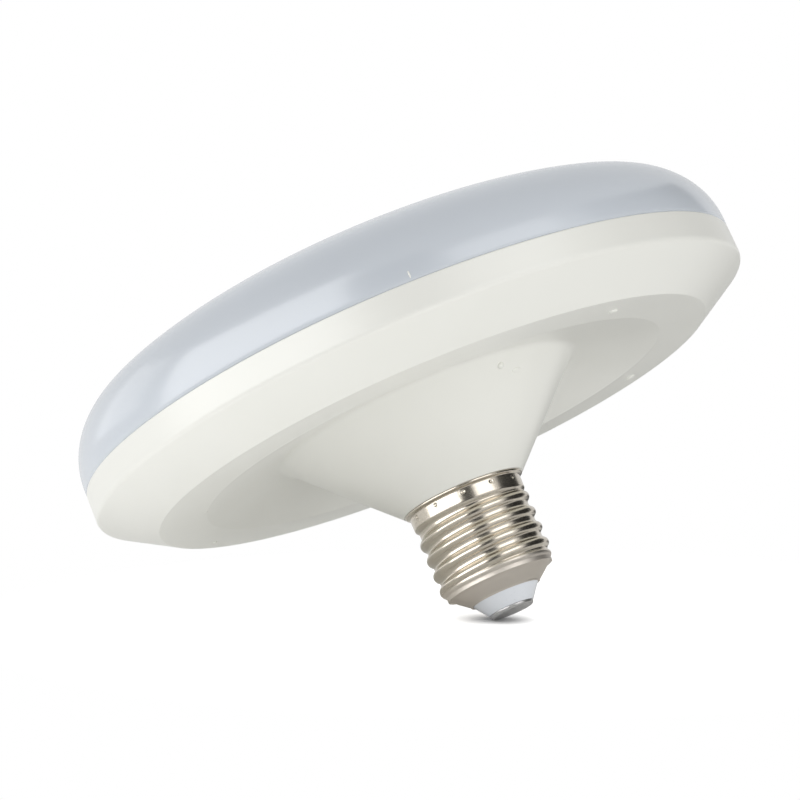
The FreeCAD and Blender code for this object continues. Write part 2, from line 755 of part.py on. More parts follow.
def add_chip(label, middle, width, height, depth, legs, leg_pitch):
    """Moulded package with bent legs above and below, flat on the board's -Y face."""
    body = new_body(label)
    low_end = f"({middle} - {height} / 2)"
    high_end = f"({middle} + {height} / 2)"
    add_block(body, "package", "0", width, low_end, height, depth)
    for row, foot in (("low", f"{low_end} - leg_reach"), ("high", f"{high_end} - leg_lap")):
        for leg in range(legs):
            place = f"({leg} - ({legs} - 1) / 2) * {leg_pitch}"
            add_block(body, f"leg_{row}_{leg}", place, "leg_width", foot, "leg_reach + leg_lap", "leg_height")


BRIDGE_LEGS = 2
CHIP_LEGS = 4
add_chip("bridge_rectifier", f"(board_low + {board_span} * bridge_share)", "bridge_length",
         "bridge_width", "bridge_height", BRIDGE_LEGS, "bridge_leg_pitch")
add_chip("driver_chip", f"(board_low + {board_span} * chip_share)", "chip_length",
         "chip_width", "chip_height", CHIP_LEGS, "chip_leg_pitch")

# Chip resistors in a row beside the transformer

resistors = new_body("chip_resistors", pieces_apart=True)
resistor = add_block(resistors, "resistor", "resistor_place", "resistor_length",
                     f"{board_top} - resistor_drop", "resistor_width", "resistor_height")
row = resistors.newObject("PartDesign::LinearPattern", "resistor_row")
row.Originals = [resistor]
row.Direction = (origin_part(resistors, "Z_Axis"), [""])
tie(row, "Length", "resistor_spacing * (resistor_count - 1)")
tie(row, "Occurrences", "resistor_count")
resistors.Tip = row

# Transformer: a ferrite core with two windows and the taped winding on its middle leg.

winding_half = "(core_thickness / 2 + winding_overhang)"
core_middle = f"({front} + {winding_half})"
core_height = f"({board_span} * core_share)"
core_centre = f"({board_top} - core_gap - {core_height} / 2)"
core_low = f"({core_centre} - {core_height} / 2)"
window_half = f"({core_height} / 2 - core_yoke)"
window_out = "(core_width / 2 - core_yoke)"
core = new_body("transformer_core")
core_sketch = new_sketch(core, "core_outline", "XZ_Plane", f"{core_middle} - core_thickness / 2")
add_rectangle(core_sketch, "0 - core_width / 2", core_low, "core_width / 2", f"{core_low} + {core_height}")
window_low = f"({core_centre} - {window_half})"
window_high = f"({core_centre} + {window_half})"
add_rectangle(core_sketch, "core_leg / 2", window_low, window_out, window_high)
add_rectangle(core_sketch, f"0 - {window_out}", window_low, "0 - core_leg / 2", window_high)
pad(core, "core", core_sketch, "core_thickness")

winding = new_body("transformer_winding")
winding_sketch = new_sketch(winding, "winding_outline", "XY_Plane", f"{window_low} + winding_gap")
add_rectangle(winding_sketch, f"0 - {window_out} + winding_gap", f"0 - {core_middle} - {winding_half}",
              f"{window_out} - winding_gap", f"0 - {front}")
add_rectangle(winding_sketch, "0 - core_leg / 2", f"0 - {core_middle} - core_thickness / 2",
              "core_leg / 2", f"core_thickness / 2 - {core_middle}")
pad(winding, "winding", winding_sketch, f"2 * ({window_half} - winding_gap)")

# Parts on the +Y face: the electrolytic and film capacitors and the fusible resistor.


def add_can(body, name, across, radius, away, low, height):
    """Upright cylinder beside the board, its axis a distance away from the +Y face."""
    sketch = new_sketch(body, name + "_outline", "XY_Plane", low)
    add_circle(sketch, across, f"{front} + {away}", radius)
    pad(body, name, sketch, height)


electrolytic = new_body("electrolytic_capacitor")
capacitor_length = f"({board_span} * capacitor_share)"
capacitor_low = f"({board_top} - capacitor_gap - {capacitor_length})"
add_can(electrolytic, "can", "0", "capacitor_radius", "capacitor_radius", capacitor_low, capacitor_length)
groove_sketch = new_sketch(electrolytic, "groove_outline", "XY_Plane", f"{capacitor_low} + groove_place")
add_circle(groove_sketch, "0", f"{front} + capacitor_radius", "capacitor_radius")
add_circle(groove_sketch, "0", f"{front} + capacitor_radius", "capacitor_radius - capacitor_groove")
pocket(electrolytic, "groove", groove_sketch, "capacitor_groove * 2")

film = new_body("film_capacitor")
add_block(film, "film", "film_place + film_length / 2", "film_length", "film_low", "film_height",
          "film_width", reverse=True)

fuse = new_body("fusible_resistor")
add_can(fuse, "fuse", "0 - fuse_place", "fuse_radius", "fuse_radius", "fuse_low", "fuse_length")

# Leads: live and neutral between cap and board, and a pair from the board to the LEDs.


def add_lead(label, across, aside, low, high):
    """Straight round lead parallel to the lamp's axis."""
    body = new_body(label)
    sketch = new_sketch(body, "lead_outline", "XY_Plane", low)
    add_circle(sketch, across, aside, "lead_radius")
    pad(body, "lead", sketch, f"{high} - {low}")


def add_bent_lead(label, aside, foot, elbow, tip):
    """Lead that leaves the board along the axis and bends once towards tip.

    foot is its end on the board, elbow the corner of its route before rounding, tip the
    far end's distance from the axis; all run in one plane beside the axis.
    """
    body = new_body(label)
    path = new_sketch(body, "route", "XZ_Plane", aside)
    up = "lead_bend" if number(foot[1]) > number(elbow[1]) else "0 - lead_bend"
    across = "lead_bend" if number(tip) > number(elbow[0]) else "0 - lead_bend"
    add_run(path, [
        foot,
        (elbow[0], f"{elbow[1]} + {up}"),
        (f"{elbow[0]} + {across}", elbow[1]),
        (tip, elbow[1]),
    ], {1: ("lead_bend", -1)}, closed=False)
    section = new_sketch(body, "lead_outline", "XY_Plane", foot[1])
    add_circle(section, foot[0], f"0 - ({aside})", "lead_radius")
    pipe = body.newObject("PartDesign::AdditivePipe", "lead")
    pipe.Profile = section
    pipe.Spine = (path, ["Edge1", "Edge2", "Edge3"])


add_lead("live_lead", "0", "0", "shank_floor", notch_top)
add_bent_lead("neutral_lead", "0", ("0 - neutral_place", notch_top),
              ("0 - neutral_place", "neutral_height"), f"0 - ({valley} - sheet - shell_clearance)")
for label, aside in (
    ("led_lead_positive", "led_lead_spacing / 2"),
    ("led_lead_negative", "0 - led_lead_spacing / 2"),
):
    add_bent_lead(label, aside, ("led_lead_place", board_top), ("led_lead_place", led_lead_level),
                  "terminal_place + terminal_length / 2")

# Write each piece once everything has built soundly

pieces = [item for item in doc.Objects if item.TypeId == "PartDesign::Body"]
doc.recompute()
for item in doc.Objects:
    faults = [word for word in item.State if word in ("Invalid", "Error")]
    if faults:
        raise RuntimeError(f"{item.Name}: {faults} {item.getStatusString()}")
for piece in pieces:
    if piece.Shape.isNull() or not piece.Shape.isValid():
        raise RuntimeError(f"{piece.Label} has no sound shape")
for piece in pieces:
    piece.Shape.exportStep(f"parts/{piece.Label}.step")
    print(piece.Label, len(piece.Shape.Solids), round(piece.Shape.Volume, 1))
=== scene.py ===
import math

import bmesh
import bpy
from mathutils import Matrix, Vector


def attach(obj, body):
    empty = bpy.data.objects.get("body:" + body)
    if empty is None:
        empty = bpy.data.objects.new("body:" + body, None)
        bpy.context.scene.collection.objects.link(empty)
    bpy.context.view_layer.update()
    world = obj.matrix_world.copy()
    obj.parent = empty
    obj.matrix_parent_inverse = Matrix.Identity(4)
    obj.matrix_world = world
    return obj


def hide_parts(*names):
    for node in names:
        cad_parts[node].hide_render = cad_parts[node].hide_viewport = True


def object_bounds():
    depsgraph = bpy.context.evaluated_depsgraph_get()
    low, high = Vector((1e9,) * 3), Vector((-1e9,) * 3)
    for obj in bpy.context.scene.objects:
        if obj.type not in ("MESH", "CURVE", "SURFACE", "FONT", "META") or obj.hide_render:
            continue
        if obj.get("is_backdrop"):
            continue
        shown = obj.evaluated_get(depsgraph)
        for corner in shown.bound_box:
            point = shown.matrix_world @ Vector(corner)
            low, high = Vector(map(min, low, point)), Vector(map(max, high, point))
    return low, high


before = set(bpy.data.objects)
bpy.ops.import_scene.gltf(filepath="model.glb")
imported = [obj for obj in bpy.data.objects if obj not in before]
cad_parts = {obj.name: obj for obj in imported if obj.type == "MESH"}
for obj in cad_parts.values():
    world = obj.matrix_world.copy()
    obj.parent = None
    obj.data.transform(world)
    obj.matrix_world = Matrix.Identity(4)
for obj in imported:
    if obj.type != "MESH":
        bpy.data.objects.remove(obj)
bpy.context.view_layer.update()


# Housing: the lamp's white lower shell, injection moulded in one piece of PBT. From the seam
# down it has the band, the bevel, a flat land, a shallow dish and the neck cone, and the cap
# is staked on its spigot.

MM = 0.001
TURN_STEPS = 384
SUPPORT_MARGIN = 0.15
WALL = 1.8
SEAM_HEIGHT = 57.6
BAND_RADIUS = 75.65
LAND_HEIGHT = 44.05


def rounded(corners, steps=8):
    """Points of a closed half section in mm; each corner is (radius, height, rounding)."""
    points = []
    for place, (across, up, rounding) in enumerate(corners):
        here = Vector((across, up))
        if not rounding:
            points.append(here)
            continue
        before = (Vector(corners[place - 1][:2]) - here).normalized()
        after = (Vector(corners[(place + 1) % len(corners)][:2]) - here).normalized()
        half = before.angle(after) / 2
        centre = here + (before + after).normalized() * rounding / math.sin(half)
        reach = rounding / math.tan(half)
        first = here + before * reach - centre
        last = here + after * reach - centre
        begin = math.atan2(first.y, first.x)
        turn = math.remainder(math.atan2(last.y, last.x) - begin, 2 * math.pi)
        for step in range(steps + 1):
            angle = begin + turn * step / steps
            points.append(centre + rounding * Vector((math.cos(angle), math.sin(angle))))
    return points


def with_support(points, margin=SUPPORT_MARGIN):
    """Add points close to the ends of long runs, so that flat faces shade flat."""
    held = []
    for place, here in enumerate(points):
        following = points[(place + 1) % len(points)]
        held.append(here)
        way = following - here
        if way.length > 4 * margin and not (here.x < margin and following.x < margin):
            held.append(here + way.normalized() * margin)
            held.append(following - way.normalized() * margin)
    return held


def turned(name, section, steps=TURN_STEPS):
    """Smooth mesh of a closed half section turned about the lamp's axis."""
    mesh = bmesh.new()
    rings = []
    for point in section:
        on_axis = point.x < 0.001
        count = 1 if on_axis else steps
        ring = []
        for step in range(count):
            angle = 2 * math.pi * step / steps
            place = Vector((point.x * math.cos(angle), point.x * math.sin(angle), point.y))
            ring.append(mesh.verts.new(place * MM))
        rings.append(ring)
    for low, high in zip(rings, rings[1:] + rings[:1]):
        if len(low) == 1 and len(high) == 1:
            continue
        for step in range(steps):
            following = (step + 1) % steps
            corners = []
            for ring, place in ((low, step), (low, following), (high, following), (high, step)):
                vertex = ring[place % len(ring)]
                if vertex not in corners:
                    corners.append(vertex)
            mesh.faces.new(corners)
    return smooth_object(name, mesh)


def smooth_object(name, mesh):
    """Scene object of a finished mesh, its faces outwards and shaded smooth."""
    bmesh.ops.recalc_face_normals(mesh, faces=mesh.faces)
    data = bpy.data.meshes.new(name)
    mesh.to_mesh(data)
    mesh.free()
    data.shade_smooth()
    piece = bpy.data.objects.new(name, data)
    bpy.context.scene.collection.objects.link(piece)
    return piece


def socket_named(sockets, name):
    """The socket of a name that the node uses in its present mode."""
    return next(socket for socket in sockets if socket.name == name and socket.enabled)


def add_node(tree, kind, inputs=None, **settings):
    """Add one shader node; each input is a value, or the (node, output) that feeds it."""
    node = tree.nodes.new(kind)
    for key, value in settings.items():
        setattr(node, key, value)
    for key, value in (inputs or {}).items():
        socket = node.inputs[key] if isinstance(key, int) else socket_named(node.inputs, key)
        if isinstance(value, tuple) and isinstance(value[0], bpy.types.Node):
            tree.links.new(socket_named(value[0].outputs, value[1]), socket)
        else:
            socket.default_value = value
    return node


def srgb(hex_code):
    """Linear colour of an sRGB hex value."""
    parts = [int(hex_code[place:place + 2], 16) / 255 for place in (0, 2, 4)]
    linear = [part / 12.92 if part <= 0.04045 else ((part + 0.055) / 1.055) ** 2.4 for part in parts]
    return (*linear, 1.0)


def per_metre(size):
    """Texture scale that gives a pattern its real size in mm."""
    return 1 / (size * MM)


def new_finish(name):
    """Empty node material and its coordinates in the lamp's frame."""
    material = bpy.data.materials.new(name)
    material.use_nodes = True
    material.node_tree.nodes.clear()
    return material.node_tree, add_node(material.node_tree, "ShaderNodeTexCoord"), material


def noise(tree, vector, size, detail):
    """Noise with grains of a size in mm."""
    return add_node(tree, "ShaderNodeTexNoise", {
        "Vector": vector, "Scale": per_metre(size), "Detail": detail})


def blend(tree, factor, light, dark):
    """Colour between two sRGB hex values, the first where the factor is 0."""
    return add_node(tree, "ShaderNodeMix", {"Factor": factor, "A": srgb(light), "B": srgb(dark)},
                    data_type="RGBA")


def between(tree, value, low, high):
    """Number between two ends, as a value goes from 0 to 1."""
    return add_node(tree, "ShaderNodeMapRange", {"Value": value, "To Min": low, "To Max": high})


def relief(tree, height, strength, depth, **below):
    """Bump of a depth in mm, over the Normal given, if any."""
    return add_node(tree, "ShaderNodeBump", {
        "Height": height, "Strength": strength, "Distance": depth * MM, **below})


def finish_off(tree, shader, output="BSDF"):
    """Lead a shader to the material's surface."""
    add_node(tree, "ShaderNodeOutputMaterial", {"Surface": (shader, output)})


def stand_for(piece, node, material):
    """Put a modelled piece in the place of its CAD node."""
    piece.data.materials.append(material)
    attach(piece, "root")
    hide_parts(node)


# PBT, moulded in a polished tool: a warm white with a satin gloss, faint flow marks and a
# pebble too fine to see, drawn here at half a millimetre so that it just breaks the shine
tree, place, moulded_pbt = new_finish("moulded_pbt")
flow = noise(tree, (place, "Object"), 22, 2.0)
pebble = noise(tree, (place, "Object"), 0.5, 1.0)
smudge = noise(tree, (place, "Object"), 7, 4.0)
tone = blend(tree, (flow, "Fac"), "F1F1EB", "EDEDE6")
gloss = between(tree, (smudge, "Fac"), 0.30, 0.40)
waves = relief(tree, (flow, "Fac"), 0.25, 0.2)
grain = relief(tree, (pebble, "Fac"), 0.12, 0.02, Normal=(waves, "Normal"))
skin = add_node(tree, "ShaderNodeBsdfPrincipled", {
    "Base Color": (tone, "Result"), "Roughness": (gloss, "Result"), "Normal": (grain, "Normal"), "IOR": 1.55})
finish_off(tree, skin)

housing = turned("housing_shell", with_support(rounded([
    (BAND_RADIUS, SEAM_HEIGHT, 0.25),  # seam
    (75.75, 51.2, 1.3),  # from the band to the bevel
    (64.2, LAND_HEIGHT + 0.05, 0.5),  # from the bevel to the land
    (53.2, LAND_HEIGHT - 0.05, 0.6),  # from the land to the dish
    (34.3, 48.0, 2.2),  # foot of the neck cone
    (14.0, 27.7, 0.2),  # end of the neck cone, under the cap's rim
    (12.49, 27.7, 0),
    (12.49, 24.2, 0),
    (11.8, 23.5, 0),
    (11.8, 13.0, 0.3),  # end of the spigot
    (10.2, 13.0, 0.3),
    (10.2, 26.45, 1.0),
    (33.57, 48.0 + WALL, 2.0),
    (68.4, 46.5 + WALL, 2.0),
    (BAND_RADIUS - WALL, 53.0, 0),
    (BAND_RADIUS - WALL, SEAM_HEIGHT, 0.2),
])))
stand_for(housing, "housing", moulded_pbt)

# Ejector and gate marks that the mould leaves: low pips, each as (angle from +X, radius,
# height, tilt of its face, half width, half length, rise), the last one on the seam
mesh = bmesh.new()
for angle, across, up, tilt, wide, long, rise in (
        (-56.2, 31.65, 45.35, -45, 0.8, 0.8, 0.6),
        (-47.4, 30.3, 44.0, -45, 1.3, 0.6, 0.12),
        (-42.0, 57.7, LAND_HEIGHT, -90, 1.3, 0.9, 0.4),
        (38.3, 58.6, LAND_HEIGHT, -90, 1.3, 0.9, 0.4),
        (-167.4, 53.6, LAND_HEIGHT, -90, 0.5, 0.4, 0.2),
        (156.6, 60.5, LAND_HEIGHT, -90, 0.6, 0.5, 0.3),
        (-85.0, BAND_RADIUS, 59.0, 0, 0.2, 0.8, 0.16)):
    angle, tilt = math.radians(angle), math.radians(tilt)
    radial = Vector((math.cos(angle), math.sin(angle), 0))
    face = radial * math.cos(tilt) + Vector((0, 0, math.sin(tilt)))
    side = Vector((-math.sin(angle), math.cos(angle), 0))
    axes = Matrix((side * wide, face.cross(side) * long, face * rise)).transposed().to_4x4()
    spot = radial * across + Vector((0, 0, up))
    bmesh.ops.create_uvsphere(mesh, u_segments=20, v_segments=12, radius=MM,
                              matrix=Matrix.Translation(spot * MM) @ axes)
marks = smooth_object("moulding_marks", mesh)
marks.data.materials.append(moulded_pbt)
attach(marks, "root")


# Threaded shell: nickel-plated brass sheet, 0.3 mm thick, rolled to the E27 thread. Its
# collar is pinned to the housing's spigot by a ring of punched stakes, and its end cone is
# closed over the insulator.

PITCH = 3.629
CREST_RADIUS = 13.08
ROOT_RADIUS = 12.13
THREAD_START = 8.55
THREAD_TURNS = 4.0
THREAD_REACH = (7.0, 25.2)
THREAD_BLEND = 0.1
RUN_OUT = 0.30
SHEET = 0.3
COLLAR_RADIUS = 12.85
STAKES = 12
STAKE_HEIGHT = 26.1
STAKE_RADIUS = 0.42
STAKE_DEPTH = 0.2
STAKE_RIM = 0.04
SHELL_STEPS = 360


def thread_height(angle, up):
    """Height of the rolled thread over its root at an angle from +Y and a height, in mm."""
    depth = CREST_RADIUS - ROOT_RADIUS
    turns = angle / (2 * math.pi)
    travelled = round((up - THREAD_START) / PITCH - turns) + turns
    off_crest = abs(up - THREAD_START - travelled * PITCH)
    fade = 1.0
    for room in (travelled + RUN_OUT / 2, THREAD_TURNS + RUN_OUT / 2 - travelled):
        part = min(max(room / RUN_OUT, 0), 1)
        fade *= part * part * (3 - 2 * part)
    bend = ((PITCH / 2) ** 2 + depth ** 2) / (4 * depth)
    if off_crest < PITCH / 4:
        height = depth - (bend - math.sqrt(bend ** 2 - off_crest ** 2))
    else:
        left = min(max(PITCH / 2 - off_crest, 0), PITCH / 4)
        height = bend - math.sqrt(bend ** 2 - left ** 2)
    return height * fade


def stake_dent(angle, up):
    """Depth of the punched stakes and of their raised rims at an angle and height, in mm."""
    around = math.remainder(angle, 2 * math.pi / STAKES) * COLLAR_RADIUS
    gap = math.hypot(around, up - STAKE_HEIGHT) / STAKE_RADIUS
    return STAKE_DEPTH * max(1 - gap * gap, 0) ** 0.8 - STAKE_RIM * math.exp(-((gap - 1.25) / 0.22) ** 2)


def spread(points, spacing):
    """Split the runs between points so that none is longer than the spacing."""
    out = []
    for here, following in zip(points, points[1:]):
        count = max(1, math.ceil((following - here).length / spacing))
        out += [here.lerp(following, step / count) for step in range(count)]
    return out + [points[-1]]


outside = spread(rounded([
    (7.6, 4.0, 0),
    (8.0, 4.0, 0.12),  # edge closed over the insulator
    (8.15, 4.3, 0.3),
    (10.4, 6.1, 5.0),  # end cone
    (12.75, 8.6, 0.7),
    (ROOT_RADIUS, 9.6, 0.8),  # thread
    (ROOT_RADIUS, 23.2, 0.8),
    (COLLAR_RADIUS, 24.0, 0.7),  # collar
    (COLLAR_RADIUS, 26.9, 0.3),
    (13.65, 27.25, 0.22),  # rim
    (13.65, 27.68, 0.15),
    (12.6, 27.68, 0),
    (12.6, 27.3, 0),
], 6)[:-1], 0.14)
inside = spread([Vector(point) for point in (
    (12.55, 27.3), (12.55, 24.2), (11.83, 23.4), (11.83, 9.6), (12.2, 8.75), (10.1, 6.4), (7.6, 4.4))], 0.5)
mesh = bmesh.new()
rings = []
for point in outside + inside:
    ring = []
    hidden = len(rings) >= len(outside)
    for step in range(SHELL_STEPS):
        angle = 2 * math.pi * step / SHELL_STEPS
        across = point.x
        if THREAD_REACH[0] < point.y < THREAD_REACH[1]:
            ridge = ROOT_RADIUS + thread_height(angle, point.y) - (SHEET if hidden else 0)
            across = (across + ridge + math.hypot(across - ridge, THREAD_BLEND)) / 2
        elif not hidden and abs(across - COLLAR_RADIUS) < 0.05:
            across -= stake_dent(angle, point.y)
        spot = Vector((-across * math.sin(angle), across * math.cos(angle), point.y))
        ring.append(mesh.verts.new(spot * MM))
    rings.append(ring)
for low, high in zip(rings, rings[1:] + rings[:1]):
    for step in range(SHELL_STEPS):
        following = (step + 1) % SHELL_STEPS
        mesh.faces.new((low[step], low[following], high[following], high[step]))
shell = smooth_object("rolled_shell", mesh)

# Nickel plate on rolled brass: a warm grey mirror, softened by draw lines that run round
# the shell. The lines are a few hundredths wide and are drawn at 0.2 mm so that they show
tree, place, nickel_plate = new_finish("nickel_plate")
around = add_node(tree, "ShaderNodeMapping", {"Vector": (place, "Object"), "Scale": (0.04, 0.04, 1.0)})
lines = noise(tree, (around, "Vector"), 0.2, 3.0)
stain = noise(tree, (place, "Object"), 3, 5.0)
tone = blend(tree, (stain, "Fac"), "DCD4C7", "CBC3B5")
dull = between(tree, (stain, "Fac"), 0.17, 0.27)
scratch = relief(tree, (lines, "Fac"), 0.12, 0.01)
# The end cone is left matt by the closing tool, up to where the thread starts
apart = add_node(tree, "ShaderNodeSeparateXYZ", {"Vector": (place, "Object")})
cone = add_node(tree, "ShaderNodeMapRange", {
    "Value": (apart, "Z"), "From Min": 8.4 * MM, "From Max": 9.2 * MM, "To Min": 1.0, "To Max": 0.0})
shade = add_node(tree, "ShaderNodeMix", {
    "Factor": (cone, "Result"), "A": (tone, "Result"), "B": srgb("DCD5CC")}, data_type="RGBA")
matt = add_node(tree, "ShaderNodeMix", {"Factor": (cone, "Result"), "A": (dull, "Result"), "B": 0.5})
metal = add_node(tree, "ShaderNodeBsdfPrincipled", {
    "Base Color": (shade, "Result"), "Metallic": 1.0, "Roughness": (matt, "Result"),
    "Normal": (scratch, "Normal")})
finish_off(tree, metal)
stand_for(shell, "threaded_shell", nickel_plate)


# Insulator: a pressed and glazed ceramic puck in the shell's end, with the contact's shank
# through its middle. Its tapered foot shows between shell and contact.

SMALL_TURN_STEPS = 192

insulator = turned("glazed_insulator", with_support(rounded([
    (1.32, 0.9, 0),
    (5.15, 0.9, 0.25),  # foot, on the contact
    (7.72, 4.25, 0.3),  # taper that shows, up to the shell's edge
    (7.72, 4.5, 0),
    (10.1, 6.4, 0),
    (10.95, 7.3, 0.2),
    (3.4, 7.3, 0.2),
    (3.4, 5.4, 0),
    (1.32, 5.4, 0),
], 5), 0.1), SMALL_TURN_STEPS)

# Glazed ceramic: cool white under a clear glossy glaze with the slight waviness of a fired
# surface and a few dark specks
tree, place, glazed_ceramic = new_finish("glazed_ceramic")
wave = noise(tree, (place, "Object"), 2.5, 2.0)
speck = noise(tree, (place, "Object"), 0.35, 1.0)
spots = add_node(tree, "ShaderNodeMapRange", {"Value": (speck, "Fac"), "From Min": 0.68, "From Max": 0.8})
tone = blend(tree, (spots, "Result"), "F5F9FF", "DADEE3")
fired = relief(tree, (wave, "Fac"), 0.3, 0.05)
glaze = add_node(tree, "ShaderNodeBsdfPrincipled", {
    "Base Color": (tone, "Result"), "Roughness": 0.35, "Coat Weight": 0.5, "Coat Roughness": 0.12,
    "Normal": (fired, "Normal"), "IOR": 1.52})
finish_off(tree, glaze)
stand_for(insulator, "cap_insulator", glazed_ceramic)


# Centre contact: a pressed cap of tinned brass with a rounded edge. Its hollow shank goes
# through the insulator and is soldered to the live lead.

CONTACT_RADIUS = 4.95
CONTACT_ROUND = 0.68

contact = turned("contact_button", with_support(rounded([
    (0, 0.12, 0),
    (1.5, 0.12, 0.6),
    (2.1, 0.0, 0.6),
    (CONTACT_RADIUS, 0.0, CONTACT_ROUND),
    (CONTACT_RADIUS, 0.9, 0.15),
    (1.3, 0.9, 0),
    (1.3, 6.6, 0.1),  # end of the shank
    (0.55, 6.6, 0.1),
    (0.55, 1.6, 0),
    (0, 1.6, 0),
], 6), 0.1), SMALL_TURN_STEPS)

# Tinned brass: a soft grey metal with a hazy shine, clouded by the dipping and marked by
# fine wiping scratches, drawn at 0.15 mm
tree, place, tinned_brass = new_finish("tinned_brass")
cloud = noise(tree, (place, "Object"), 1.6, 4.0)
wiped = add_node(tree, "ShaderNodeMapping", {
    "Vector": (place, "Object"), "Rotation": (0, 0, 0.6), "Scale": (0.08, 1, 1)})
fine = noise(tree, (wiped, "Vector"), 0.15, 2.0)
tone = blend(tree, (cloud, "Fac"), "DCDCDC", "C0BFBD")
haze = between(tree, (cloud, "Fac"), 0.25, 0.45)
wiping = relief(tree, (fine, "Fac"), 0.25, 0.01)
metal = add_node(tree, "ShaderNodeBsdfPrincipled", {
    "Base Color": (tone, "Result"), "Metallic": 1.0, "Roughness": (haze, "Result"),
    "Normal": (wiping, "Normal")})
finish_off(tree, metal)
stand_for(contact, "centre_contact", tinned_brass)


# Leads: tinned copper wires from the cap to the driver board, and an insulated pair from
# the board to the LEDs. They are cut, stripped and soldered by hand.


def finish_nodes(material, *names):
    """Give CAD nodes their real finish."""
    for name in names:
        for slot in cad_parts[name].material_slots:
            slot.material = material


def simple_finish(name, light, dark, size, roughness, depth=0.02, metallic=0.0, squeeze=(1.0, 1.0, 1.0)):
    """Finish whose colour, gloss and relief follow one grain of a real size in mm.

    squeeze below 1 draws the grain out along an axis, as brushing or drawing does.
    """
    tree, place, material = new_finish(name)
    drawn = add_node(tree, "ShaderNodeMapping", {"Vector": (place, "Object"), "Scale": squeeze})
    grain = noise(tree, (drawn, "Vector"), size, 4.0)
    tone = blend(tree, (grain, "Fac"), light, dark)
    gloss = between(tree, (grain, "Fac"), roughness * 0.8, roughness * 1.2)
    rough = relief(tree, (grain, "Fac"), 0.4, depth)
    surface = add_node(tree, "ShaderNodeBsdfPrincipled", {
        "Base Color": (tone, "Result"), "Roughness": (gloss, "Result"), "Metallic": metallic,
        "Normal": (rough, "Normal")})
    finish_off(tree, surface)
    return material


# Tinned copper: bright drawn wire with lines along its length
finish_nodes(simple_finish("tinned_copper", "D9C9B4", "B98F6A", 0.2, 0.25,
                           metallic=1.0, squeeze=(1, 1, 0.05)), "live_lead", "neutral_lead")
# PVC insulation: soft extruded plastic, slightly matt
finish_nodes(simple_finish("red_pvc", "C2281E", "A81F18", 0.5, 0.45), "led_lead_positive")
finish_nodes(simple_finish("black_pvc", "1E1E20", "141415", 0.5, 0.45), "led_lead_negative")


# Driver board: FR4 laminate with a green solder mask, sheared and notched to slide into the
# housing's rails. It carries the rectifier, the driver chip, four chip resistors, the
# transformer, the capacitors and the fusible resistor.

# FR4: glass cloth under a glossy green mask, so that the weave shows as a faint check. The
# wave texture repeats at about a third of its scale's length, here every 1.2 mm
tree, place, green_laminate = new_finish("green_laminate")
warp, weft = [add_node(tree, "ShaderNodeTexWave", {"Vector": (place, "Object"), "Scale": per_metre(3.768)},
                       bands_direction=axis) for axis in "XZ"]
weave = add_node(tree, "ShaderNodeMath", {0: (warp, "Fac"), 1: (weft, "Fac")}, operation="MULTIPLY")
tone = blend(tree, (weave, "Value"), "1F6B3A", "2C8049")
cloth = relief(tree, (weave, "Value"), 0.3, 0.02)
mask = add_node(tree, "ShaderNodeBsdfPrincipled", {
    "Base Color": (tone, "Result"), "Roughness": 0.3, "Normal": (cloth, "Normal")})
finish_off(tree, mask)
finish_nodes(green_laminate, "driver_board")

# Epoxy moulding compound: matt black with a fine spark-eroded grain
finish_nodes(simple_finish("black_epoxy", "2B2B2C", "1C1C1D", 0.15, 0.6),
             "bridge_rectifier", "driver_chip", "chip_resistors")
# Ferrite: pressed and sintered, dark grey and gritty
finish_nodes(simple_finish("sintered_ferrite", "4A4746", "333130", 0.12, 0.7), "transformer_core")
# Polyester tape: yellow, wound in layers round the coil
finish_nodes(simple_finish("polyester_tape", "E3B93A", "CFA128", 1.2, 0.35, squeeze=(0.1, 0.1, 1)),
             "transformer_winding")
# Shrunk PVC sleeve: dark blue and glossy, with soft wrinkles along the can
finish_nodes(simple_finish("shrink_sleeve", "2A3654", "212B45", 1.0, 0.3, squeeze=(1, 1, 0.1)),
             "electrolytic_capacitor")
# Epoxy dip: a thick, glossy, slightly wavy coat
finish_nodes(simple_finish("dipped_epoxy", "B4552C", "9E4522", 2.0, 0.25, depth=0.08), "film_capacitor")
# Resistor lacquer: a flame-proof coat with an egg-shell surface
finish_nodes(simple_finish("resistor_lacquer", "6E9A8E", "5F8A7E", 0.4, 0.55), "fusible_resistor")


# Light engine: the aluminium heat spreader on the housing's seat, and on it the LED board
# with its packages, phosphor windows, terminal and three screws.

# Rolled aluminium: bright sheet with mill lines in one direction, drawn at 0.3 mm
finish_nodes(simple_finish("rolled_aluminium", "D2D4D6", "B9BCBE", 0.3, 0.35,
                           metallic=1.0, squeeze=(0.03, 1, 1)), "heat_spreader")
# White solder mask: bright, dense and half matt, with a light orange peel
finish_nodes(simple_finish("white_mask", "F2F3F0", "E9EAE6", 0.8, 0.4), "led_board")
# Polyamide: the packages' and terminal's white reflector plastic
finish_nodes(simple_finish("white_polyamide", "F0EFEA", "E4E3DC", 0.2, 0.5), "led_packages", "led_terminal")
# Phosphor in silicone: a yellow gel full of grains
finish_nodes(simple_finish("phosphor_silicone", "F2CF4E", "E0B22E", 0.12, 0.3), "phosphor_windows")
# Zinc-plated steel: bluish grey with a slight cloud
finish_nodes(simple_finish("zinc_plate", "C4C8CC", "A9ADB2", 0.6, 0.3, metallic=1.0), "board_screws")


# Diffuser: an opal polycarbonate dome, injection moulded with an even 1.6 mm wall. Its
# skirt snaps into the band, and a fine rounded groove shows where the two meet.

WALL_LEAN = 6.3
WALL_ARC = (16.2, 72.7)
SHOULDER_ARC = (57.0, 18.4)
DIFFUSER_WALL = 1.6
FOOT_RADIUS = BAND_RADIUS - 0.1
SKIRT_RADII = (72.35, 73.75)
SKIRT_FOOT = 54.4


